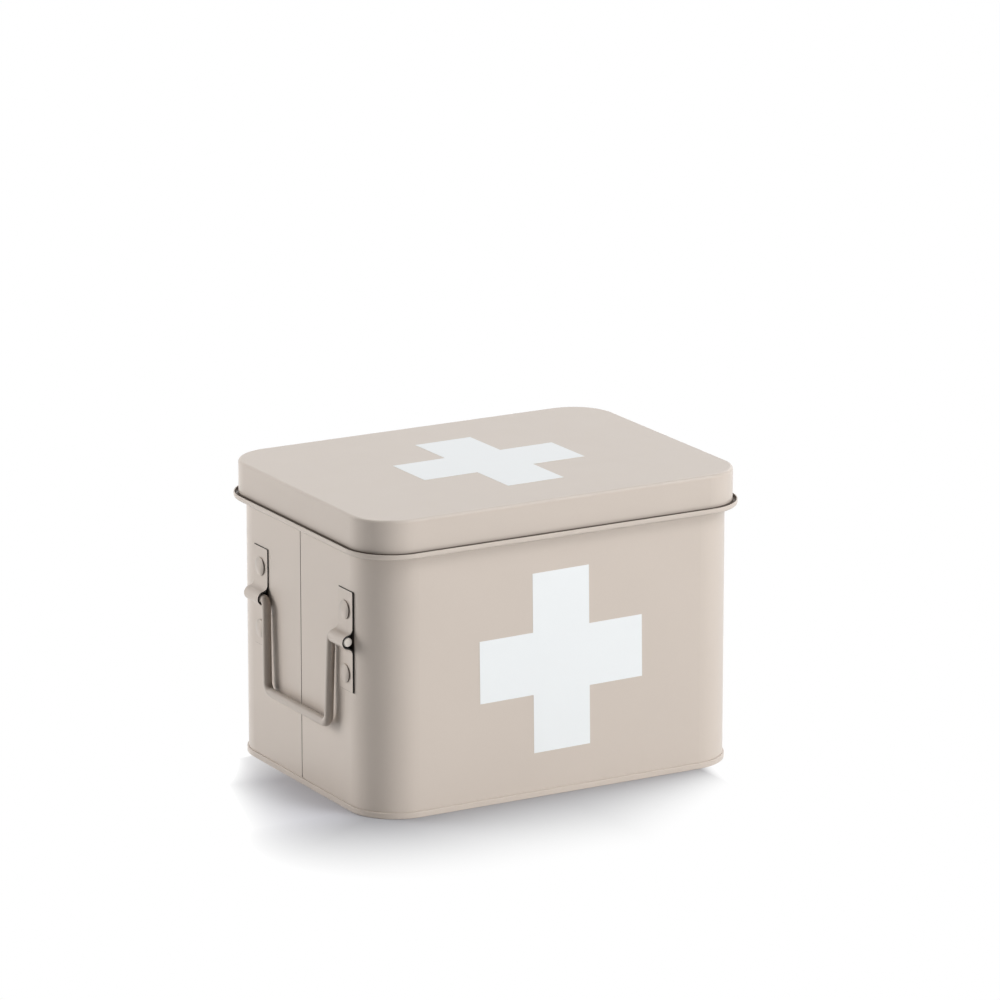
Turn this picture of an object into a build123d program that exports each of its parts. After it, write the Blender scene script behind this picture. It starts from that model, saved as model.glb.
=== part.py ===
from build123d import *
from math import sqrt
import os

# A painted sheet-steel medicine box with a deep hinged lid and a wire handle at each end.
# Millimetres. X runs along the front, the front faces -Y and Z is up.
# The origin is the centre of the footprint, on the surface that the box stands on.

# Box
body_length = 220.0  # outside of the wall, along X
body_width = 161.0  # outside of the wall, along Y
box_height = 160.0  # from the floor to the top of the lid
body_corner_r = 26.0  # outside of the wall
sheet = 0.7  # wall, pan and lid, with their paint
touch_gap = 0.05  # between pieces that are fixed together
moving_gap = 0.35  # between pieces that move past each other
cut_over = 1.0  # how far a cutting shape passes the sheet that it cuts

# Bottom seam, where the pan's edge is folded round the foot of the wall
rim_height = 3.2
rim_leg = 0.8  # thickness of the fold outside the wall
rim_round = 0.38
foot_round = 0.45
pan_recess = 3.0  # from the floor to the underside of the pan

# Rolled top edge of the wall, and the seam that closes the wall
roll_r = 1.1
roll_slot = 0.3
seam_width = 0.5
seam_depth = 0.35
seam_lap = 9.0  # inner overlap behind the seam
lap_end_gap = 1.0

# Lid
lid_margin = 2.5  # from the outside of the wall to the outside of the lid's skirt
lid_corner_r = 24.0
lid_depth = 20.6  # from the top of the lid to the lowest point of its bead
lid_rest_gap = 0.3  # between the rolled edge and the lid
lid_fold_r = 1.6  # outside of the fold between top and skirt
bead_groove = 1.95  # open groove between the skirt and the turned-up edge
bead_height = 3.15

# White crosses, laid on by hand and so a little off square
cross_size = 97.0
cross_arm = 33.6
front_cross_z = 72.6  # centre of the front cross above the floor
front_cross_turn = 0.7  # degrees
lid_cross_x = 2.3  # centre of the lid's cross, to the right of the lid's middle
lid_cross_turn = 0.9  # degrees
enamel = 0.12  # thickness of the enamel

# Wire handles
wire_d = 4.8
wire_gap = 0.8  # between the wall and the wire, in the brackets
handle_z = 92.0  # axis of the handle above the floor
handle_stand = 0.8  # degrees that a hanging handle stands off the wall
left_handle_y = -3.1  # middle of the left handle along its side
right_handle_y = 4.0  # middle of the right handle along its side
handle_drop = 48.8  # from the axis to the middle of the grip
arm_lean = 13.0  # how far each arm comes in from its bracket's middle to the grip
shoulder_r = 3.0  # middle of the wire, beside the brackets
grip_r = 5.0  # middle of the wire, beside the grip
wire_end_chamfer = 0.4

# Handle brackets: straps with a half-round loop over the wire
bracket_margin = 7.45  # from the rounded corner to a bracket's middle, on a centred handle
bracket_width = 15.5
bracket_height = 53.5
strap = 0.7
loop_play = 0.7  # round the wire, up and down
loop_lift = 0.3  # between the wire and the crown of the loop
loop_bend_r = 3.2  # outer face of the bend where the loop leaves the strap
strap_drop = 0.6  # from the handle's axis down to the middle of the strap
strap_corner_r = 0.6

# Handle rivets
rivet_spread = 34.0
rivet_drop = 1.4  # from the handle's axis down to the middle between the rivets
rivet_head_d = 9.8
rivet_head_h = 1.5
rivet_lip = 0.7  # straight edge under the dome
rivet_shank_d = 4.0
rivet_tail_d = 6.6
rivet_tail_h = 1.0

# Hinges
hinge_spacing = 120.0
leaf_width = 30.0
leaf_height = 18.0  # from the hinge axis to the free edge of a leaf
leaf = 0.8
leaf_corner_r = 2.0
hinge_pin_d = 1.8
pin_running_gap = 0.05
pin_head_d = 2.7
pin_head_h = 0.6
hinge_rivet_spacing = 16.0
hinge_rivet_rise = 11.5  # from the hinge axis to the rivets
hinge_rivet_head_d = 5.0
hinge_rivet_head_h = 1.0
hinge_rivet_lip = 0.15
hinge_rivet_shank_d = 2.4
hinge_rivet_tail_d = 3.8
hinge_rivet_tail_h = 0.4

# Worked out from the sizes above
lid_length = body_length + 2 * lid_margin
lid_width = body_width + 2 * lid_margin
wall_foot = sheet + touch_gap
wall_top = box_height - sheet - lid_rest_gap
pan_top = pan_recess + sheet
front_face = -body_width / 2
rear_face = body_width / 2
skirt_inner_y = lid_width / 2 - sheet
bead_inner_r = bead_groove / 2
bead_outer_r = bead_inner_r + sheet
bead_bottom = box_height - lid_depth
bead_centre_y = lid_width / 2 + bead_inner_r
bead_centre_z = bead_bottom + bead_outer_r
bracket_spacing = body_width - 2 * body_corner_r - 2 * bracket_margin
grip_span = bracket_spacing - 2 * arm_lean  # between the middles of the arms, at the grip
wire_r = wire_d / 2
wire_off = wire_gap + wire_r  # from the wall to the middle of the wire
bore_r = hinge_pin_d / 2 + pin_running_gap
knuckle_r = bore_r + leaf
knuckle_length = leaf_width / 3
hinge_y = rear_face + moving_gap + knuckle_r
knuckle_reach = bead_outer_r + moving_gap + knuckle_r
hinge_z = bead_centre_z - sqrt(knuckle_reach**2 - (bead_centre_y - hinge_y) ** 2)


def strip(x_low, x_high, y_low, y_high):
    """A rectangle given by its limits."""
    middle = Pos((x_low + x_high) / 2, (y_low + y_high) / 2)
    return middle * Rectangle(x_high - x_low, y_high - y_low)


def block(x_low, x_high, y_low, y_high, z_low, z_high):
    """A box given by its limits."""
    middle = Pos((x_low + x_high) / 2, (y_low + y_high) / 2, (z_low + z_high) / 2)
    return middle * Box(x_high - x_low, y_high - y_low, z_high - z_low)


def rod(start, direction, radius, length):
    """A round bar that starts at a point and runs along a direction."""
    return Plane(origin=start, z_dir=direction) * extrude(Circle(radius), amount=length)


def rounded(profile, x, y, radius):
    """The profile with the corner nearest to a point rounded."""
    corner = profile.vertices().sort_by_distance((x, y, 0))[0]
    return fillet(corner, radius)


def carried_round(profile, length, width, corner_r):
    """The profile carried round a rounded rectangle, as four straight runs and four quarter turns.

    The profile's X is the distance outside the rectangle and its Y is the height.
    """
    side_runs = (width - 2 * corner_r, length - 2 * corner_r)
    signs = ((1, 1), (-1, 1), (-1, -1), (1, -1))
    outward = (Vector(1, 0, 0), Vector(0, 1, 0), Vector(-1, 0, 0), Vector(0, -1, 0))
    pieces = []
    for quarter in range(4):
        sign_x, sign_y = signs[quarter]
        centre = Vector(sign_x * (length / 2 - corner_r), sign_y * (width / 2 - corner_r), 0)
        normal = outward[quarter]
        back = normal.cross(Vector(0, 0, 1))
        section = Plane(origin=centre + normal * corner_r, x_dir=normal, z_dir=back) * profile
        pieces.append(revolve(section, Axis(centre, (0, 0, 1)), revolution_arc=90))
        pieces.append(extrude(section, amount=side_runs[quarter % 2], dir=back))
    return Part() + pieces


def rounded_plate(length, width, corner_r, z_low, thickness):
    """A flat plate with rounded corners."""
    return Pos(0, 0, z_low) * extrude(RectangleRounded(length, width, corner_r), amount=thickness)


def rivet(head_d, head_h, lip, shank_d, grip, tail_d, tail_h):
    """A dome-headed rivet along Z: the head stands on Z = 0 and the tail closes below the grip."""
    dome = TangentArc((0, head_h), (head_d / 2, lip), tangent=(1, 0))
    sides = Polyline(
        (head_d / 2, lip),
        (head_d / 2, 0),
        (shank_d / 2, 0),
        (shank_d / 2, -grip),
        (tail_d / 2, -grip),
        (tail_d / 2, -grip - tail_h),
        (0, -grip - tail_h),
        (0, head_h),
    )
    return revolve(Plane.XZ * make_face([dome, sides]), Axis.Z)


def handle_places():
    """The name, side and middle along Y of each handle."""
    return (("left", -1, left_handle_y), ("right", 1, right_handle_y))


def bracket_places():
    """The name, side and middle along Y of each handle bracket."""
    for side_name, side, handle_y in handle_places():
        for end_name, end in (("front", -1), ("rear", 1)):
            yield f"{side_name}_{end_name}", side, handle_y + end * bracket_spacing / 2


def rivet_places():
    """The name and height of the two rivets of a bracket."""
    middle_z = handle_z - rivet_drop
    return (("upper", middle_z + rivet_spread / 2), ("lower", middle_z - rivet_spread / 2))


def hinge_places():
    """The name and middle along X of each hinge."""
    return (("left", -hinge_spacing / 2), ("right", hinge_spacing / 2))


def hinge_rivet_places(centre_x):
    """The name and place along X of the two rivets in one hinge leaf."""
    return (("left", centre_x - hinge_rivet_spacing / 2), ("right", centre_x + hinge_rivet_spacing / 2))


def body_wall():
    """The wrapped wall: rolled inwards at the top, closed by a seam on the left side."""
    roll = Pos(-roll_r, wall_top - roll_r) * (Circle(roll_r) - Circle(roll_r - sheet))
    slot = strip(-sheet - roll_slot, -sheet, wall_top - 2 * roll_r, wall_top - roll_r)
    upright = strip(-sheet, 0, wall_foot, wall_top - roll_r)
    wall = carried_round(upright + (roll - slot), body_length, body_width, body_corner_r)
    left = -body_length / 2
    lap_top = wall_top - 2 * roll_r - lap_end_gap
    half_lap = seam_lap / 2
    wall += block(left + sheet, left + 2 * sheet, -half_lap, half_lap, pan_top + lap_end_gap, lap_top)
    half_seam = seam_width / 2
    wall -= block(left - cut_over, left + seam_depth, -half_seam, half_seam, wall_foot, wall_top - roll_r)
    hole_r = rivet_shank_d / 2 + touch_gap
    for _, side, middle_y in bracket_places():
        for _, z in rivet_places():
            inside = (side * (body_length / 2 - sheet - cut_over), middle_y, z)
            wall -= rod(inside, (side, 0, 0), hole_r, sheet + 2 * cut_over)
    hole_r = hinge_rivet_shank_d / 2 + touch_gap
    for _, centre_x in hinge_places():
        for _, x in hinge_rivet_places(centre_x):
            inside = (x, rear_face - sheet - cut_over, hinge_z - hinge_rivet_rise)
            wall -= rod(inside, (0, 1, 0), hole_r, sheet + 2 * cut_over)
    return wall


def base_pan():
    """The raised bottom, with its edge taken down inside the wall, under its foot and up outside it."""
    leg_face = -(sheet + touch_gap)
    fold_face = touch_gap + rim_leg
    profile = strip(leg_face - sheet, leg_face, 0, pan_top)
    profile += strip(leg_face - sheet, fold_face, 0, sheet)
    profile += strip(touch_gap, fold_face, 0, rim_height)
    profile = rounded(profile, fold_face, 0, foot_round)
    profile = rounded(profile, fold_face, rim_height, rim_round)
    profile = rounded(profile, leg_face - sheet, 0, foot_round)
    rim = carried_round(profile, body_length, body_width, body_corner_r)
    inset = sheet - leg_face
    panel_length = body_length - 2 * inset
    panel_width = body_width - 2 * inset
    panel = rounded_plate(panel_length, panel_width, body_corner_r - inset, pan_recess, sheet)
    return rim + panel


def lid_shell():
    """The drawn lid: a flat top, a deep skirt, and a bead turned out and up into an open groove."""
    fold_centre = Pos(-lid_fold_r, box_height - lid_fold_r)
    fold_quarter = strip(-lid_fold_r, 0, box_height - lid_fold_r, box_height)
    fold = fold_centre * (Circle(lid_fold_r) - Circle(lid_fold_r - sheet)) & fold_quarter
    skirt = strip(-sheet, 0, bead_centre_z, box_height - lid_fold_r)
    curl = Pos(bead_inner_r, bead_centre_z) * (Circle(bead_outer_r) - Circle(bead_inner_r))
    curl = curl & strip(-sheet, bead_groove + sheet, bead_bottom, bead_centre_z)
    edge_top = bead_bottom + bead_height
    edge_r = sheet / 2
    edge = strip(bead_groove, bead_groove + sheet, bead_centre_z, edge_top - edge_r)
    edge += Pos(bead_groove + edge_r, edge_top - edge_r) * Circle(edge_r)
    shell = carried_round(fold + skirt + curl + edge, lid_length, lid_width, lid_corner_r)
    top_length = lid_length - 2 * lid_fold_r
    top_width = lid_width - 2 * lid_fold_r
    shell += rounded_plate(top_length, top_width, lid_corner_r - lid_fold_r, box_height - sheet, sheet)
    hole_r = hinge_rivet_shank_d / 2 + touch_gap
    for _, centre_x in hinge_places():
        for _, x in hinge_rivet_places(centre_x):
            inside = (x, skirt_inner_y - cut_over, hinge_z + hinge_rivet_rise)
            shell -= rod(inside, (0, 1, 0), hole_r, sheet + 2 * cut_over)
    return shell


def cross():
    """A plain cross with four equal arms, one coat of enamel thick."""
    return extrude(Rectangle(cross_size, cross_arm) + Rectangle(cross_arm, cross_size), amount=enamel)


def front_cross():
    """The cross on the front of the wall."""
    face = Plane(origin=(0, front_face, front_cross_z), x_dir=(1, 0, 0), z_dir=(0, -1, 0))
    return face * Rot(0, 0, front_cross_turn) * cross()


def lid_cross():
    """The cross on top of the lid."""
    return Pos(lid_cross_x, 0, box_height) * Rot(0, 0, lid_cross_turn) * cross()


def swell(centre, radius, bend_centre, bend_r):
    """One outline of a strap's loop: a round crown joined to the strap by a bend on each side.

    The strap's back lies on the Y axis, and the bends' centres are at the same place on both sides.
    """
    x, y = bend_centre
    outline = make_face(Polyline((0, y), (x, y), (centre, 0), (x, -y), (0, -y), close=True))
    outline += Pos(centre, 0) * Circle(radius)
    for end in (-1, 1):
        outline -= Pos(x, end * y) * Circle(bend_r)
    return outline & strip(0, centre + radius, -y, y)


def handle_bracket(side, middle_y):
    """A strap whose middle is pressed out into a round loop over the handle's wire."""
    inner_r = wire_r + loop_play
    outer_r = inner_r + strap
    crown = wire_off + wire_r + loop_lift  # from the wall to the inside of the loop
    loop_centre = crown - inner_r
    bend_x = strap + loop_bend_r
    bend_z = sqrt((outer_r + loop_bend_r) ** 2 - (bend_x - loop_centre) ** 2)
    bend_centre = (bend_x, bend_z)
    half_height = bracket_height / 2
    profile = strip(0, strap, -half_height - strap_drop, half_height - strap_drop)
    profile += swell(loop_centre, outer_r, bend_centre, loop_bend_r)
    profile -= swell(loop_centre, inner_r, bend_centre, loop_bend_r + strap)
    length = Plane(origin=(0, bracket_width / 2, 0), x_dir=(1, 0, 0), z_dir=(0, -1, 0))
    bracket = length * extrude(profile, amount=bracket_width)
    across = bracket.edges().filter_by(Axis.X).sort_by(Axis.Z)
    bracket = fillet(across[:2] + across[-2:], strap_corner_r)
    turn = Rot(0, 0, 0 if side > 0 else 180)
    bracket = Pos(side * body_length / 2, middle_y, handle_z) * turn * bracket
    hole_r = rivet_shank_d / 2 + touch_gap
    for _, z in rivet_places():
        inside = (side * (body_length / 2 - cut_over), middle_y, z)
        bracket -= rod(inside, (side, 0, 0), hole_r, strap + 2 * cut_over)
    return bracket


def handle_rivet(side, middle_y, z):
    """A dome rivet through a bracket and the wall."""
    shape = rivet(
        rivet_head_d, rivet_head_h, rivet_lip, rivet_shank_d, strap + sheet, rivet_tail_d, rivet_tail_h
    )
    seat = (side * (body_length / 2 + strap), middle_y, z)
    return Plane(origin=seat, z_dir=(side, 0, 0)) * shape


def wire_handle(side, handle_y):
    """The bent wire, hanging: a stub in each bracket, two arms that lean in, and a straight grip."""
    bracket_inner = bracket_spacing / 2 - bracket_width / 2
    stub_end = bracket_spacing / 2 + bracket_width / 2
    shoulder = bracket_inner - moving_gap - shoulder_r
    half_grip = grip_span / 2
    corners = [
        (0, stub_end, 0),
        (0, shoulder, 0),
        (0, half_grip, -handle_drop),
        (0, -half_grip, -handle_drop),
        (0, -shoulder, 0),
        (0, -stub_end, 0),
    ]
    line = FilletPolyline(*corners, radius=[shoulder_r, grip_r, grip_r, shoulder_r])
    section = Plane(origin=(0, stub_end, 0), z_dir=(0, -1, 0)) * Circle(wire_r)
    wire = sweep(section, path=line)
    ends = wire.faces().sort_by(Axis.Y)
    wire = chamfer(ends[0].edges() + ends[-1].edges(), wire_end_chamfer)
    axis_place = Pos(side * (body_length / 2 + wire_off), handle_y, handle_z)
    return axis_place * Rot(0, -side * handle_stand, 0) * wire


def knuckle(centre_x, length):
    """A solid barrel on the hinge axis."""
    return rod((centre_x - length / 2, hinge_y, hinge_z), (1, 0, 0), knuckle_r, length)


def bored(leaf_shape, centre_x):
    """The leaf with the hole for the hinge pin."""
    start = (centre_x - leaf_width / 2 - cut_over, hinge_y, hinge_z)
    return leaf_shape - rod(start, (1, 0, 0), bore_r, leaf_width + 2 * cut_over)


def drilled(leaf_shape, centre_x, y_low, rivet_z):
    """The leaf with the holes for its two rivets."""
    hole_r = hinge_rivet_shank_d / 2 + touch_gap
    for _, x in hinge_rivet_places(centre_x):
        leaf_shape -= rod((x, y_low - cut_over, rivet_z), (0, 1, 0), hole_r, leaf + 2 * cut_over)
    return leaf_shape


def leaf_plate(centre_x, y_low, z_low, z_high, free_edge_z):
    """A flat leaf with two rounded corners at its free edge."""
    half = leaf_width / 2
    plate = block(centre_x - half, centre_x + half, y_low, y_low + leaf, z_low, z_high)
    free_edge = (centre_x, y_low, free_edge_z)
    corners = plate.edges().filter_by(Axis.Y).sort_by_distance(free_edge)[:2]
    return fillet(corners, leaf_corner_r)


def lower_leaf(centre_x):
    """The leaf on the back of the wall, with a knuckle at each end."""
    free_edge = hinge_z - leaf_height
    shape = leaf_plate(centre_x, rear_face, free_edge, hinge_z, free_edge)
    for end in (-1, 1):
        shape += knuckle(centre_x + end * knuckle_length, knuckle_length)
    half_notch = knuckle_length / 2 + moving_gap
    notch_foot = hinge_z - knuckle_r - moving_gap
    notch_back = hinge_y + knuckle_r + cut_over
    notch_top = hinge_z + knuckle_r + cut_over
    notch_limits = (rear_face - cut_over, notch_back, notch_foot, notch_top)
    shape -= block(centre_x - half_notch, centre_x + half_notch, *notch_limits)
    shape = bored(shape, centre_x)
    return drilled(shape, centre_x, rear_face, hinge_z - hinge_rivet_rise)


def upper_leaf(centre_x):
    """The leaf inside the back of the skirt, with one knuckle in the middle."""
    free_edge = hinge_z + leaf_height
    y_low = skirt_inner_y - leaf
    shape = leaf_plate(centre_x, y_low, hinge_z + knuckle_r + moving_gap, free_edge, free_edge)
    half = knuckle_length / 2
    neck_foot = hinge_z + bore_r
    neck_top = hinge_z + knuckle_r + leaf
    shape += block(centre_x - half, centre_x + half, y_low, y_low + leaf, neck_foot, neck_top)
    shape += knuckle(centre_x, knuckle_length)
    shape = bored(shape, centre_x)
    return drilled(shape, centre_x, y_low, hinge_z + hinge_rivet_rise)


def hinge_pin(centre_x):
    """The pin, headed at both ends."""
    half = leaf_width / 2 + touch_gap
    pin = rod((centre_x - half, hinge_y, hinge_z), (1, 0, 0), hinge_pin_d / 2, 2 * half)
    for end in (-1, 1):
        pin += rod((centre_x + end * half, hinge_y, hinge_z), (end, 0, 0), pin_head_d / 2, pin_head_h)
    return pin


def hinge_rivet(x, seat_y, z, grip):
    """A small dome rivet through a hinge leaf and the sheet, its head to the rear."""
    shape = rivet(
        hinge_rivet_head_d,
        hinge_rivet_head_h,
        hinge_rivet_lip,
        hinge_rivet_shank_d,
        grip,
        hinge_rivet_tail_d,
        hinge_rivet_tail_h,
    )
    return Plane(origin=(x, seat_y, z), z_dir=(0, 1, 0)) * shape


def all_parts():
    """Every node's name and its solid."""
    parts = {
        "body_wall": body_wall(),
        "base_pan": base_pan(),
        "front_cross": front_cross(),
        "lid_shell": lid_shell(),
        "lid_cross": lid_cross(),
    }
    for side_name, side, handle_y in handle_places():
        parts[f"{side_name}_handle"] = wire_handle(side, handle_y)
    for place, side, middle_y in bracket_places():
        parts[f"{place}_bracket"] = handle_bracket(side, middle_y)
        for level, z in rivet_places():
            parts[f"{place}_{level}_rivet"] = handle_rivet(side, middle_y, z)
    for name, centre_x in hinge_places():
        parts[f"{name}_hinge_lower_leaf"] = lower_leaf(centre_x)
        parts[f"{name}_hinge_upper_leaf"] = upper_leaf(centre_x)
        parts[f"{name}_hinge_pin"] = hinge_pin(centre_x)
        for end_name, x in hinge_rivet_places(centre_x):
            body_seat = (x, rear_face + leaf, hinge_z - hinge_rivet_rise)
            lid_seat = (x, lid_width / 2, hinge_z + hinge_rivet_rise)
            parts[f"{name}_hinge_body_{end_name}_rivet"] = hinge_rivet(*body_seat, leaf + sheet)
            parts[f"{name}_hinge_lid_{end_name}_rivet"] = hinge_rivet(*lid_seat, leaf + sheet)
    return parts


os.makedirs("parts", exist_ok=True)
for node, shape in all_parts().items():
    export_step(shape, f"parts/{node}.step")
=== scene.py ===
import math

import bpy
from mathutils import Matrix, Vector


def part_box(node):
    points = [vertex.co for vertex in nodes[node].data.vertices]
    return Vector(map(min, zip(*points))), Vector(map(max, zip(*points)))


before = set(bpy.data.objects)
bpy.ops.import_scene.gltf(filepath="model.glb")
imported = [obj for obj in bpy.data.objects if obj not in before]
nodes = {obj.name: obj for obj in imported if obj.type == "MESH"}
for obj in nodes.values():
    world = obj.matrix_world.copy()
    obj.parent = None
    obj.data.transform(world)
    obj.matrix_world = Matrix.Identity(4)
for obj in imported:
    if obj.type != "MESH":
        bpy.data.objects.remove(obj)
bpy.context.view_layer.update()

# A painted sheet-steel medicine box. Metres. X runs along the front, the front faces -Y and Z is up.
MM = 0.001

# Camera, with the sensor's width and the lens in millimetres, as Blender takes them
CAMERA_AZIMUTH = -29.555
CAMERA_ELEVATION = 15.046
CAMERA_DISTANCE = 3271.4 * MM
CAMERA_TARGET = (9.047 * MM, 0.0, 137.915 * MM)
SENSOR_WIDTH = 36.0
CAMERA_LENS = 223.337
CLIP_START = 0.1
CLIP_END = 100.0

# Sizes read from the parts in model.glb
wall_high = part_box("body_wall")[1]
lid_low, lid_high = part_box("lid_shell")
strap_low, strap_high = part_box("left_front_bracket")
rear_strap_low, rear_strap_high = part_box("left_rear_bracket")
left_wire_low, left_wire_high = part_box("left_handle")
right_wire_low, right_wire_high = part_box("right_handle")
left_handle_y = (left_wire_low.y + left_wire_high.y) / 2
right_handle_y = (right_wire_low.y + right_wire_high.y) / 2
strap_reach = (rear_strap_low.y + rear_strap_high.y - strap_low.y - strap_high.y) / 4
strap_half_width = (strap_high.y - strap_low.y) / 2
strap_middle_z = (strap_low.z + strap_high.z) / 2
strap_half_height = (strap_high.z - strap_low.z) / 2

# Paint and enamel, as linear colours
GREIGE = (0.610, 0.538, 0.477, 1.0)
GREIGE_FITTING = (0.595, 0.524, 0.464, 1.0)
GREIGE_HANDLE = (0.515, 0.452, 0.400, 1.0)
# Painted shade: near-black on the straps' cut sides, ends and backs, for the dark gap between strap and
# wall
STRAP_EDGE_SHADE = (0.012, 0.010, 0.009, 1.0)
# Painted shade: the fine dark line on the wall round each strap, for the shadow of its gap
STRAP_GAP_SHADE = (0.055, 0.046, 0.040, 1.0)
# Painted shade: the side of the handle's arms that looks to the front, where little light falls
ARM_SHADE = (0.360, 0.305, 0.262, 1.0)
# Painted shadow: the dark crescent at a rivet's lower front rim
RIVET_SHADOW = (0.110, 0.091, 0.077, 1.0)
# Painted shade: a rivet dome's upper rear side, darkened to hold back its highlight
DOME_SHADE = (0.470, 0.414, 0.366, 1.0)
SEAM_GRIME = (0.200, 0.168, 0.143, 1.0)
RUBBED_END = (0.800, 0.745, 0.680, 1.0)
# Painted shade: inside the lid's groove, and faint on the skirt above it
GROOVE_SHADE = (0.200, 0.166, 0.142, 1.0)
COOL_WHITE = (0.845, 0.870, 0.880, 1.0)
PIN_STEEL = (0.420, 0.400, 0.380, 1.0)
WHITE = (1.0, 1.0, 1.0, 1.0)

# Lid, as in the part's source
LID_CORNER_R = 24.0 * MM
SKIRT_SHEET = 0.7 * MM
GROOVE_WIDTH = 1.95 * MM
EDGE_HEIGHT = 3.15 * MM
BEAD_REACH = GROOVE_WIDTH + SKIRT_SHEET

# Shade in the lid's groove, and its faint rise on the skirt above
GROOVE_OVERLAP = 0.15 * MM
GROOVE_FADE = 2.4 * MM
GROOVE_FAINT = 0.28
GROOVE_POWER = 2.0

# Painted shade along the edges of the straps, and grime in the seam
STRAP_SHADE_WIDTH = 0.3 * MM
SEAM_HALF_WIDTH = 0.36 * MM
SEAM_DEPTH = 0.4 * MM

# How far a face turns, as the size of a part of its normal
CUT_SIDE_LIMIT = 0.75
CUT_END_LIMIT = 0.6
BACK_LIMIT = -0.1
OUTER_FACE_LIMIT = 0.5
WIRE_END_LIMIT = 0.5
ARM_SHADE_TURN = (-0.15, -0.6)
RIVET_FORWARD = 0.94
RIVET_DOWN = 0.34
RIVET_SHADOW_TURN = (0.14, 0.55)
DOME_SHADE_TURN = (0.02, -0.22)

# Sprayed paint, with its noises in features for each metre
CLOUD_SCALE = 22.0
GRAIN_SCALE = 1600.0
GRAIN_AMOUNT = 0.03
WAVE_SCALE = 14.0
GLOSS_SCALE = 60.0
PAINT_SPECULAR = 0.4

# Half a height that nothing passes, so that only the outline counts
ANY_HEIGHT = 10.0

# Floor and its shadow
FLOOR_HALF = 12.0
CORNER_R = 26.0 * MM
foot_half = (wall_high.x - CORNER_R, wall_high.y - CORNER_R)
FRONT_REACH = 99.0 * MM
FRONT_SHORTENING = 0.8
FRONT_POWER = 1.75
FRONT_TINT_SHARE = 0.5
SIDE_REACH = 40.0 * MM
SIDE_SHORTENING = 0.32
SIDE_POWER = 2.2
SIDE_REAR_SHARE = 0.2
WHITENED_REAR_SHARE = 0.15
EXTRA_COUNT = 3.0
LEAST_DISTANCE = 0.1 * MM
FAR_REACH = 45.0 * MM
FAR_POWER = 1.75
FAR_FADE_START = 3 * MM
FAR_FADE_END = 28 * MM
FAR_FADE_BEHIND = 40 * MM
FLOOR_GREY = (0.80, 0.80, 0.80, 1.0)
FRONT_SHADE = (0.474, 0.475, 0.500, 1.0)
SIDE_SHADE = (0.692, 0.698, 0.748, 1.0)

# Light
WORLD_FILL = 0.01
LAMP_AIM = (0.0, 0.0, 0.08)


# ---------------------------------------------------------------- shader groups


def new_group(name, inputs, outputs):
    """An empty shader group with named sockets, and its input and output nodes."""
    group = bpy.data.node_groups.new(name, "ShaderNodeTree")
    for socket_name, kind, value in inputs:
        socket = group.interface.new_socket(socket_name, in_out="INPUT", socket_type=kind)
        socket.default_value = value
    for socket_name, kind in outputs:
        group.interface.new_socket(socket_name, in_out="OUTPUT", socket_type=kind)
    return group, group.nodes.new("NodeGroupInput"), group.nodes.new("NodeGroupOutput")


def new_mask_group(name):
    """A shader group without inputs that puts out one mask, and the socket that takes it."""
    group, _, result = new_group(name, (), (("Mask", "NodeSocketFloat"),))
    return group, result.inputs["Mask"]


def feed(tree, value, socket):
    """Puts a number or a colour in a socket, or links another socket to it."""
    if isinstance(value, bpy.types.NodeSocket):
        tree.links.new(value, socket)
    else:
        socket.default_value = value


def math_node(tree, operation, first, second):
    """One step of arithmetic. Each side is a socket or a number."""
    node = tree.nodes.new("ShaderNodeMath")
    node.operation = operation
    feed(tree, first, node.inputs[0])
    feed(tree, second, node.inputs[1])
    return node.outputs[0]


def mixed_colour(tree, share, first, second):
    """The first colour, moved towards the second by a share."""
    node = tree.nodes.new("ShaderNodeMix")
    node.data_type = "RGBA"
    feed(tree, share, node.inputs["Factor"])
    feed(tree, first, node.inputs["A"])
    feed(tree, second, node.inputs["B"])
    return node.outputs["Result"]


def mixed_shader(tree, share, first, second):
    """The first shader, moved towards the second by a share."""
    node = tree.nodes.new("ShaderNodeMixShader")
    feed(tree, share, node.inputs[0])
    feed(tree, first, node.inputs[1])
    feed(tree, second, node.inputs[2])
    return node.outputs[0]


def size_of(tree, value):
    """A value without its sign."""
    return math_node(tree, "ABSOLUTE", value, 0.0)


def as_share(tree, value):
    """A value kept between zero and one."""
    return math_node(tree, "MINIMUM", math_node(tree, "MAXIMUM", value, 0.0), 1.0)


def rest_of(tree, share):
    """One less a share."""
    return math_node(tree, "SUBTRACT", 1.0, share)


def weighted_sum(tree, first, first_weight, second, second_weight):
    """The sum of two values, each times its own weight."""
    first_part = math_node(tree, "MULTIPLY", first, first_weight)
    return math_node(tree, "ADD", first_part, math_node(tree, "MULTIPLY", second, second_weight))


def blend(tree, share, first, second):
    """The first value, moved towards the second by a share."""
    difference = math_node(tree, "SUBTRACT", second, first)
    return math_node(tree, "ADD", first, math_node(tree, "MULTIPLY", difference, share))


def noise_node(tree, place, scale, detail):
    """Noise around 0.5 at a number of features in each metre."""
    node = tree.nodes.new("ShaderNodeTexNoise")
    node.inputs["Detail"].default_value = detail
    tree.links.new(place, node.inputs["Vector"])
    feed(tree, scale, node.inputs["Scale"])
    return node.outputs[0]


def centred(tree, value, amount):
    """The noise moved to lie around zero and multiplied by an amount."""
    return math_node(tree, "MULTIPLY", math_node(tree, "SUBTRACT", value, 0.5), amount)


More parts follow.
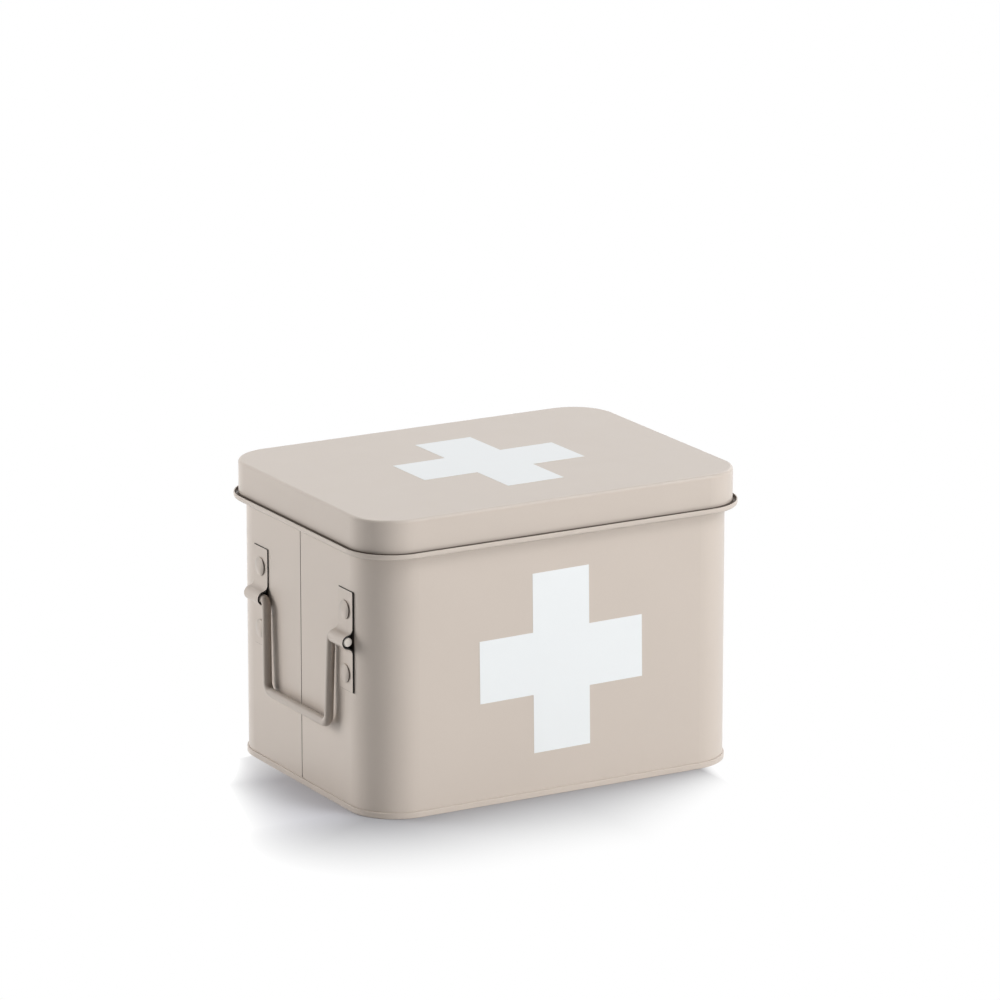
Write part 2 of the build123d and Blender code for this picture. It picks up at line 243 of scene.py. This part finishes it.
def rounded_distance(tree, place, flat_half, radius):
    """How far a point lies outside a rounded rectangle with straight half sides and a corner radius.

    It is the length of the positive part of the point's size less the half sides, less the radius.
    """
    flat = (flat_half[0], flat_half[1], ANY_HEIGHT)
    steps = (("ABSOLUTE", (0.0, 0.0, 0.0)), ("SUBTRACT", flat), ("MAXIMUM", (0.0, 0.0, 0.0)))
    for operation, value in steps:
        node = tree.nodes.new("ShaderNodeVectorMath")
        node.operation = operation
        tree.links.new(place, node.inputs[0])
        node.inputs[1].default_value = value
        place = node.outputs[0]
    reach = tree.nodes.new("ShaderNodeVectorMath")
    reach.operation = "LENGTH"
    tree.links.new(place, reach.inputs[0])
    return math_node(tree, "SUBTRACT", reach.outputs["Value"], radius)


def sprayed_paint_group():
    """Sprayed paint: cloudy shade, fine orange peel and the slow waves of the sheet beneath it.

    Colour is the paint times one plus the cloud noise and the grain. Height in millimetres is the
    fine noise times the peel plus the slow noise times the waves.
    """
    inputs = (
        ("Paint", "NodeSocketColor", GREIGE),
        ("Cloud", "NodeSocketFloat", 0.06),
        ("Peel", "NodeSocketFloat", 0.01),
        ("Peel Scale", "NodeSocketFloat", 700.0),
        ("Wave", "NodeSocketFloat", 0.1),
        ("Gloss Spread", "NodeSocketFloat", 0.1),
        ("Roughness", "NodeSocketFloat", 0.32),
    )
    outputs = (
        ("Colour", "NodeSocketColor"),
        ("Roughness", "NodeSocketFloat"),
        ("Height", "NodeSocketFloat"),
    )
    group, given, result = new_group("sprayed_paint", inputs, outputs)
    place = group.nodes.new("ShaderNodeTexCoord").outputs["Object"]
    cloud = centred(group, noise_node(group, place, CLOUD_SCALE, detail=3.0), given.outputs["Cloud"])
    grain = centred(group, noise_node(group, place, GRAIN_SCALE, detail=1.0), GRAIN_AMOUNT)
    shade = math_node(group, "ADD", math_node(group, "ADD", cloud, grain), 1.0)
    tint = group.nodes.new("ShaderNodeVectorMath")
    tint.operation = "SCALE"
    group.links.new(given.outputs["Paint"], tint.inputs[0])
    group.links.new(shade, tint.inputs["Scale"])
    group.links.new(tint.outputs[0], result.inputs["Colour"])
    peel = noise_node(group, place, given.outputs["Peel Scale"], detail=2.0)
    wave = noise_node(group, place, WAVE_SCALE, detail=1.0)
    gloss = noise_node(group, place, GLOSS_SCALE, detail=2.0)
    gloss = centred(group, gloss, given.outputs["Gloss Spread"])
    rough = math_node(group, "ADD", gloss, given.outputs["Roughness"])
    peel = centred(group, peel, given.outputs["Peel"])
    wave = centred(group, wave, given.outputs["Wave"])
    height = math_node(group, "ADD", peel, wave)
    group.links.new(rough, result.inputs["Roughness"])
    group.links.new(height, result.inputs["Height"])
    return group


def step_up(tree, value, start, end):
    """A straight rise from zero at the start to one at the end, and level on both sides."""
    share = math_node(tree, "DIVIDE", math_node(tree, "SUBTRACT", value, start), end - start)
    return as_share(tree, share)


def object_parts(tree, kind):
    """The three parts of a point's place, kind Object, or of its Normal, in the object's own space."""
    parts = tree.nodes.new("ShaderNodeSeparateXYZ")
    tree.links.new(tree.nodes.new("ShaderNodeTexCoord").outputs[kind], parts.inputs[0])
    return parts.outputs


def strap_places_group():
    """A point's place about the nearest handle strap.

    Side is the sign of X. Along is the size of Y less the middle of that side's handle. Across is
    Along less the straps' distance from that middle.
    """
    outputs = (("Across", "NodeSocketFloat"), ("Side", "NodeSocketFloat"), ("Along", "NodeSocketFloat"))
    group, _, result = new_group("strap_places", (), outputs)
    point = object_parts(group, "Object")
    right = math_node(group, "GREATER_THAN", point["X"], 0.0)
    shift = math_node(group, "MULTIPLY", right, right_handle_y - left_handle_y)
    middle = math_node(group, "ADD", shift, left_handle_y)
    along = size_of(group, math_node(group, "SUBTRACT", point["Y"], middle))
    group.links.new(math_node(group, "SUBTRACT", along, strap_reach), result.inputs["Across"])
    group.links.new(math_node(group, "SIGN", point["X"], 0.0), result.inputs["Side"])
    group.links.new(along, result.inputs["Along"])
    return group


def nearest_strap(tree):
    """The outputs of the strap places group."""
    node = tree.nodes.new("ShaderNodeGroup")
    node.node_tree = places_group
    return node.outputs


def strap_edge_shade_group():
    """Painted shade on a strap: near-black on its cut sides and ends, for the dark gap between strap and
    wall, and on its back against the wall.

    The mask is the largest of three steps: the size of the normal's Y part past a limit, the size
    of its Z part past a limit at the strap's ends, and its X part towards the box.
    """
    group, result = new_mask_group("strap_edge_shade")
    normal = object_parts(group, "Normal")
    place = object_parts(group, "Object")
    side = math_node(group, "GREATER_THAN", size_of(group, normal["Y"]), CUT_SIDE_LIMIT)
    end = math_node(group, "GREATER_THAN", size_of(group, normal["Z"]), CUT_END_LIMIT)
    rise = size_of(group, math_node(group, "SUBTRACT", place["Z"], strap_middle_z))
    beyond = math_node(group, "GREATER_THAN", rise, strap_half_height - MM)
    end = math_node(group, "MULTIPLY", end, beyond)
    outward = math_node(group, "MULTIPLY", normal["X"], nearest_strap(group)["Side"])
    back = math_node(group, "LESS_THAN", outward, BACK_LIMIT)
    mask = math_node(group, "MAXIMUM", math_node(group, "MAXIMUM", side, end), back)
    group.links.new(mask, result)
    return group


def rivet_side(tree):
    """How far a rivet's surface turns to its lower front side: the normal along a tilted direction."""
    normal = object_parts(tree, "Normal")
    return weighted_sum(tree, normal["Y"], -RIVET_FORWARD, normal["Z"], -RIVET_DOWN)


def rivet_shadow_group():
    """Painted shadow on a rivet's straight edge and its dome's rim: on the lower front side, outside the
    wall, for the head's shade and the shadow it casts.
    """
    group, result = new_mask_group("rivet_shadow")
    share = step_up(group, rivet_side(group), *RIVET_SHADOW_TURN)
    place = object_parts(group, "Object")
    outside = math_node(group, "GREATER_THAN", size_of(group, place["X"]), wall_high.x)
    group.links.new(math_node(group, "MULTIPLY", share, outside), result)
    return group


def dome_shade_group():
    """Painted shade on a rivet's dome: darker on its upper rear side, away from the painted shadow, to hold
    back the highlight there.
    """
    group, result = new_mask_group("dome_shade")
    group.links.new(step_up(group, rivet_side(group), *DOME_SHADE_TURN), result)
    return group


def seam_grime_group():
    """The fine dark line down the wall's seam: the size of Y under half the line's width, on the left."""
    group, result = new_mask_group("seam_grime")
    place = object_parts(group, "Object")
    near = math_node(group, "LESS_THAN", size_of(group, place["Y"]), SEAM_HALF_WIDTH)
    left = math_node(group, "LESS_THAN", place["X"], -wall_high.x + SEAM_DEPTH)
    group.links.new(math_node(group, "MULTIPLY", near, left), result)
    return group


def strap_shade_group():
    """Painted shade: a fine dark line on the wall round each strap, for the shadow of the gap beneath it, a
    little wider below its lower end.

    The mask is one where the larger of two distances past the strap's outline is under the line's
    width: the size of Across less half its width, and the size of the height less half its height.
    """
    group, result = new_mask_group("strap_shade")
    nearest = nearest_strap(group)
    across = math_node(group, "SUBTRACT", size_of(group, nearest["Across"]), strap_half_width)
    lower = STRAP_SHADE_WIDTH / 2
    height = object_parts(group, "Object")["Z"]
    rise = size_of(group, math_node(group, "SUBTRACT", height, strap_middle_z - lower))
    rise = math_node(group, "SUBTRACT", rise, strap_half_height + lower)
    distance = math_node(group, "MAXIMUM", across, rise)
    near = step_up(group, distance, STRAP_SHADE_WIDTH, STRAP_SHADE_WIDTH / 2)
    outward = math_node(group, "MULTIPLY", object_parts(group, "Normal")["X"], nearest["Side"])
    outside = math_node(group, "GREATER_THAN", outward, OUTER_FACE_LIMIT)
    group.links.new(math_node(group, "MULTIPLY", near, outside), result)
    return group


def arm_shade_group():
    """Painted shade on the handle's arms: darker on the side that looks to the front, which little light
    reaches, short of the wire's ends.
    """
    group, result = new_mask_group("arm_shade")
    facing = step_up(group, object_parts(group, "Normal")["Y"], *ARM_SHADE_TURN)
    arms = math_node(group, "LESS_THAN", nearest_strap(group)["Along"], strap_reach - strap_half_width)
    group.links.new(math_node(group, "MULTIPLY", facing, arms), result)
    return group


def rubbed_end_group():
    """Where the wire's cut ends are rubbed: beyond the straps' middles, on faces that look along Y."""
    group, result = new_mask_group("rubbed_end")
    turned = size_of(group, object_parts(group, "Normal")["Y"])
    facing = math_node(group, "GREATER_THAN", turned, WIRE_END_LIMIT)
    ends = math_node(group, "GREATER_THAN", nearest_strap(group)["Across"], 0.0)
    group.links.new(math_node(group, "MULTIPLY", facing, ends), result)
    return group


def lid_groove_group():
    """Painted shade: one inside the groove between the lid's skirt and its turned-up edge, where shade
    falls.

    The distance outside the skirt is the length of the positive part of the point's size less the
    straight half sides, less the corner radius. The mask is one between the skirt and the edge's
    inner face below the edge's top. It is faint, and fades out, on the skirt above.
    """
    group, result = new_mask_group("lid_groove")
    place = group.nodes.new("ShaderNodeTexCoord").outputs["Object"]
    half = (lid_high.x - BEAD_REACH - LID_CORNER_R, -lid_low.y - BEAD_REACH - LID_CORNER_R)
    distance = rounded_distance(group, place, half, LID_CORNER_R)
    height = object_parts(group, "Object")["Z"]
    inside = math_node(group, "GREATER_THAN", distance, -SKIRT_SHEET / 2)
    before_edge = math_node(group, "LESS_THAN", distance, GROOVE_WIDTH + GROOVE_OVERLAP)
    above_curl = math_node(group, "GREATER_THAN", height, lid_low.z + SKIRT_SHEET / 2)
    rise = math_node(group, "SUBTRACT", lid_low.z + EDGE_HEIGHT + GROOVE_FADE, height)
    below = as_share(group, math_node(group, "DIVIDE", rise, GROOVE_FADE))
    faint = math_node(group, "MULTIPLY", math_node(group, "POWER", below, GROOVE_POWER), GROOVE_FAINT)
    sunk = math_node(group, "LESS_THAN", height, lid_low.z + EDGE_HEIGHT)
    depth = math_node(group, "MAXIMUM", faint, sunk)
    mask = math_node(group, "MULTIPLY", math_node(group, "MULTIPLY", inside, before_edge), above_curl)
    group.links.new(math_node(group, "MULTIPLY", mask, depth), result)
    return group


# ---------------------------------------------------------------- materials


def new_material(name):
    """A new material, its node tree and its Principled shader."""
    material = bpy.data.materials.new(name)
    material.use_nodes = True
    return material, material.node_tree, material.node_tree.nodes["Principled BSDF"]


def bump(tree, shader, height):
    """Feeds a height, in millimetres, to the shader's normal."""
    node = tree.nodes.new("ShaderNodeBump")
    node.inputs["Strength"].default_value = 1.0
    node.inputs["Distance"].default_value = MM
    tree.links.new(height, node.inputs["Height"])
    tree.links.new(node.outputs["Normal"], shader.inputs["Normal"])


def painted(name, paint, values, marks=()):
    """Satin sprayed paint, with other colours where the masks of some groups say so."""
    material, tree, shader = new_material(name)
    finish = tree.nodes.new("ShaderNodeGroup")
    finish.node_tree = paint_group
    finish.inputs["Paint"].default_value = paint
    for socket_name, value in values.items():
        finish.inputs[socket_name].default_value = value
    colour = finish.outputs["Colour"]
    for mask_group, marked in marks:
        mask = tree.nodes.new("ShaderNodeGroup")
        mask.node_tree = mask_group
        colour = mixed_colour(tree, mask.outputs["Mask"], colour, marked)
    tree.links.new(colour, shader.inputs["Base Color"])
    tree.links.new(finish.outputs["Roughness"], shader.inputs["Roughness"])
    bump(tree, shader, finish.outputs["Height"])
    shader.inputs["Specular IOR Level"].default_value = PAINT_SPECULAR
    return material


paint_group = sprayed_paint_group()
places_group = strap_places_group()
edge_shade_mark = (strap_edge_shade_group(), STRAP_EDGE_SHADE)
rivet_shadow_mark = (rivet_shadow_group(), RIVET_SHADOW)
dome_shade_mark = (dome_shade_group(), DOME_SHADE)
seam_mark = (seam_grime_group(), SEAM_GRIME)
strap_shade_mark = (strap_shade_group(), STRAP_GAP_SHADE)
groove_mark = (lid_groove_group(), GROOVE_SHADE)
arm_shade_mark = (arm_shade_group(), ARM_SHADE)
rubbed_mark = (rubbed_end_group(), RUBBED_END)

shell_values = {"Cloud": 0.035, "Peel": 0.012, "Wave": 0.16}
fitting_values = {"Cloud": 0.05, "Peel": 0.014, "Wave": 0.0}
shell_paint = painted("shell_paint", GREIGE, shell_values)
wall_paint = painted("wall_paint", GREIGE, shell_values, (seam_mark, strap_shade_mark))
lid_paint = painted("lid_paint", GREIGE, shell_values, (groove_mark,))
fitting_paint = painted("fitting_paint", GREIGE_FITTING, fitting_values, (edge_shade_mark,))
hinge_paint = painted("hinge_paint", GREIGE_FITTING, fitting_values)
rivet_paint = painted("rivet_paint", GREIGE_FITTING, fitting_values, (dome_shade_mark, rivet_shadow_mark))
handle_paint = painted("handle_paint", GREIGE_HANDLE, fitting_values, (arm_shade_mark, rubbed_mark))
enamel = painted("white_enamel", COOL_WHITE, {"Cloud": 0.012, "Peel": 0.006, "Roughness": 0.32})
pin_steel = painted("pin_steel", PIN_STEEL, {"Cloud": 0.1, "Peel": 0.01, "Roughness": 0.35})
pin_steel.node_tree.nodes["Principled BSDF"].inputs["Metallic"].default_value = 1.0

# A node takes the finish of the first of these words that its name holds
finishes = (
    ("_cross", enamel),
    ("_pin", pin_steel),
    ("_handle", handle_paint),
    ("_bracket", fitting_paint),
    ("_hinge_", hinge_paint),
    ("_rivet", rivet_paint),
    ("lid_shell", lid_paint),
    ("body_wall", wall_paint),
    ("base_pan", shell_paint),
)
for node_name, node in nodes.items():
    node.material_slots[0].material = next(finish for word, finish in finishes if word in node_name)


# ---------------------------------------------------------------- floor, light and camera


def far_side_shade(tree, across, depth, distance):
    """A short shadow on the far side of the box, which hides all of it from the camera.

    It is the rest of the way to its reach, raised to a power. It fades out before the line of sight
    past the box's corners, and towards the near side. Sideways and behind are the floor's place
    turned by the camera's azimuth.
    """
    turn = math.radians(CAMERA_AZIMUTH)
    sine, cosine = math.sin(turn), math.cos(turn)
    silhouette = foot_half[0] * cosine - foot_half[1] * sine + CORNER_R
    behind = weighted_sum(tree, across, -sine, depth, cosine)
    sideways = size_of(tree, weighted_sum(tree, across, cosine, depth, sine))
    hidden = step_up(tree, sideways, silhouette - FAR_FADE_START, silhouette - FAR_FADE_END)
    hidden = math_node(tree, "MULTIPLY", hidden, step_up(tree, behind, 0.0, FAR_FADE_BEHIND))
    rest = step_up(tree, distance, FAR_REACH, 0.0)
    return math_node(tree, "MULTIPLY", math_node(tree, "POWER", rest, FAR_POWER), hidden)


def footprint_shadow(tree):
    """How white the floor has become, from zero against the box, and how far a point is in front of it.

    Front is the share of a point's distance from the straight sides that lies to the front. The
    shadow's reach is longest in front and shorter towards the right, and at the sides it shortens
    towards the rear. The share of the way to the reach, with the parts to the right of the box and
    behind it counted several times over, gives a quick fade in front, one less the rest of the way
    raised to a power, and a slow one at the sides, the share raised to a power. The whole shadow
    is then whitened towards the box's rear, and the far side's short shadow is taken off the white.
    """
    point = tree.nodes.new("ShaderNodeTexCoord").outputs["Object"]
    distance = rounded_distance(tree, point, foot_half, CORNER_R)
    place = object_parts(tree, "Object")
    across, depth = place["X"], place["Y"]
    right_part = math_node(tree, "MAXIMUM", math_node(tree, "SUBTRACT", across, foot_half[0]), 0.0)
    rear_part = math_node(tree, "MAXIMUM", math_node(tree, "SUBTRACT", depth, foot_half[1]), 0.0)
    front_part = math_node(tree, "MAXIMUM", math_node(tree, "SUBTRACT", -foot_half[1], depth), 0.0)
    whole = math_node(tree, "MAXIMUM", math_node(tree, "ADD", distance, CORNER_R), LEAST_DISTANCE)
    front = math_node(tree, "MINIMUM", math_node(tree, "DIVIDE", front_part, whole), 1.0)
    to_right = math_node(tree, "MULTIPLY", math_node(tree, "MAXIMUM", across, 0.0), FRONT_SHORTENING)
    front_reach = math_node(tree, "SUBTRACT", FRONT_REACH, to_right)
    to_rear = math_node(tree, "MULTIPLY", depth, SIDE_SHORTENING)
    side_reach = math_node(tree, "SUBTRACT", SIDE_REACH, to_rear)
    before_rear = step_up(tree, depth, wall_high.y, SIDE_REAR_SHARE * wall_high.y)
    side_reach = math_node(tree, "MULTIPLY", side_reach, before_rear)
    reach = math_node(tree, "MAXIMUM", blend(tree, front, side_reach, front_reach), MM)
    extra = math_node(tree, "MULTIPLY", math_node(tree, "ADD", right_part, rear_part), EXTRA_COUNT)
    share = as_share(tree, math_node(tree, "DIVIDE", math_node(tree, "ADD", distance, extra), reach))
    quick = rest_of(tree, math_node(tree, "POWER", rest_of(tree, share), FRONT_POWER))
    slow = math_node(tree, "POWER", share, SIDE_POWER)
    whiteness = blend(tree, front, slow, quick)
    towards_rear = step_up(tree, depth, WHITENED_REAR_SHARE * wall_high.y, wall_high.y)
    whiteness = blend(tree, towards_rear, whiteness, 1.0)
    far_shade = far_side_shade(tree, across, depth, distance)
    return math_node(tree, "MULTIPLY", whiteness, rest_of(tree, far_shade)), front


def background_rays(tree):
    """One for camera, mirror and glass rays, and zero for the rest."""
    rays = tree.nodes.new("ShaderNodeLightPath").outputs
    seen = math_node(tree, "MAXIMUM", rays["Is Camera Ray"], rays["Is Glossy Ray"])
    return math_node(tree, "MAXIMUM", seen, rays["Is Transmission Ray"])


def studio_floor():
    """A flat sheet far wider than the view, seen as a shadow by the box and white beyond."""
    half = FLOOR_HALF
    corners = [(-half, -half, 0), (half, -half, 0), (half, half, 0), (-half, half, 0)]
    mesh = bpy.data.meshes.new("floor")
    mesh.from_pydata(corners, [], [(0, 1, 2, 3)])
    floor = bpy.data.objects.new("floor", mesh)
    bpy.context.scene.collection.objects.link(floor)
    material, tree, shader = new_material("floor")
    shader.inputs["Base Color"].default_value = FLOOR_GREY
    shader.inputs["Roughness"].default_value = 1.0
    shader.inputs["Specular IOR Level"].default_value = 0.0
    whiteness, front = footprint_shadow(tree)
    tint = mixed_colour(tree, step_up(tree, front, 0.0, FRONT_TINT_SHARE), SIDE_SHADE, FRONT_SHADE)
    shaded = tree.nodes.new("ShaderNodeBsdfDiffuse")
    tree.links.new(tint, shaded.inputs["Color"])
    white = tree.nodes.new("ShaderNodeEmission")
    seen = mixed_shader(tree, whiteness, shaded.outputs[0], white.outputs[0])
    surface = mixed_shader(tree, background_rays(tree), shader.outputs[0], seen)
    tree.links.new(surface, tree.nodes["Material Output"].inputs["Surface"])
    mesh.materials.append(material)


def studio_world():
    """An even fill that camera, mirror and glass rays see as white."""
    world = bpy.data.worlds.new("studio")
    world.use_nodes = True
    bpy.context.scene.world = world
    tree = world.node_tree
    level = blend(tree, background_rays(tree), WORLD_FILL, 1.0)
    background = tree.nodes["Background"]
    background.inputs["Color"].default_value = WHITE
    tree.links.new(level, background.inputs["Strength"])


def aim(obj, target, azimuth, elevation, distance):
    """Puts a lamp or camera at a distance from its target. Azimuth 0 is in front and 90 to the right."""
    a, e = math.radians(azimuth), math.radians(elevation)
    back = Vector((math.sin(a) * math.cos(e), -math.cos(a) * math.cos(e), math.sin(e)))
    obj.location = Vector(target) + back * distance
    obj.rotation_mode = "QUATERNION"
    obj.rotation_quaternion = (-back).to_track_quat("-Z", "Y")


def softbox(name, azimuth, elevation, distance, width, height, watts, mirrored):
    """A soft rectangular lamp aimed at the box.

    A low lamp isn't mirrored, because seen from the far side it would whiten the whole lid.
    """
    lamp = bpy.data.lights.new(name, "AREA")
    lamp.shape = "RECTANGLE"
    lamp.size = width
    lamp.size_y = height
    lamp.energy = watts
    obj = bpy.data.objects.new(name, lamp)
    obj.visible_glossy = mirrored
    bpy.context.scene.collection.objects.link(obj)
    aim(obj, LAMP_AIM, azimuth, elevation, distance)


def studio_camera():
    """The camera on its azimuth and elevation about the target."""
    camera = bpy.data.objects.new("camera", bpy.data.cameras.new("camera"))
    bpy.context.scene.collection.objects.link(camera)
    aim(camera, CAMERA_TARGET, CAMERA_AZIMUTH, CAMERA_ELEVATION, CAMERA_DISTANCE)
    camera.data.sensor_width = SENSOR_WIDTH
    camera.data.lens = CAMERA_LENS
    camera.data.clip_start = CLIP_START
    camera.data.clip_end = CLIP_END
    bpy.context.scene.camera = camera


# Each lamp's azimuth, elevation, distance, width, height, watts, and whether it shows in reflections
lamps = (
    ("left_rear_softbox", -135, 12, 2.4, 1.1, 1.8, 55, False),
    ("front_softbox", 22, 2, 3.2, 1.0, 1.1, 42, False),
    ("right_front_softbox", 35, 8, 3.2, 1.2, 2.2, 32, False),
    ("high_right_softbox", 40, 42, 3.0, 1.4, 1.4, 32, True),
    ("high_front_softbox", 20, 60, 3.0, 1.4, 1.4, 12, True),
    ("rear_top_softbox", 160, 55, 2.6, 1.8, 1.4, 23, True),
    ("right_rear_softbox", 125, 25, 2.4, 1.2, 1.4, 5, True),
)

studio_floor()
studio_world()
for lamp_values in lamps:
    softbox(*lamp_values)
studio_camera()
bpy.context.scene.view_settings.view_transform = "Standard"
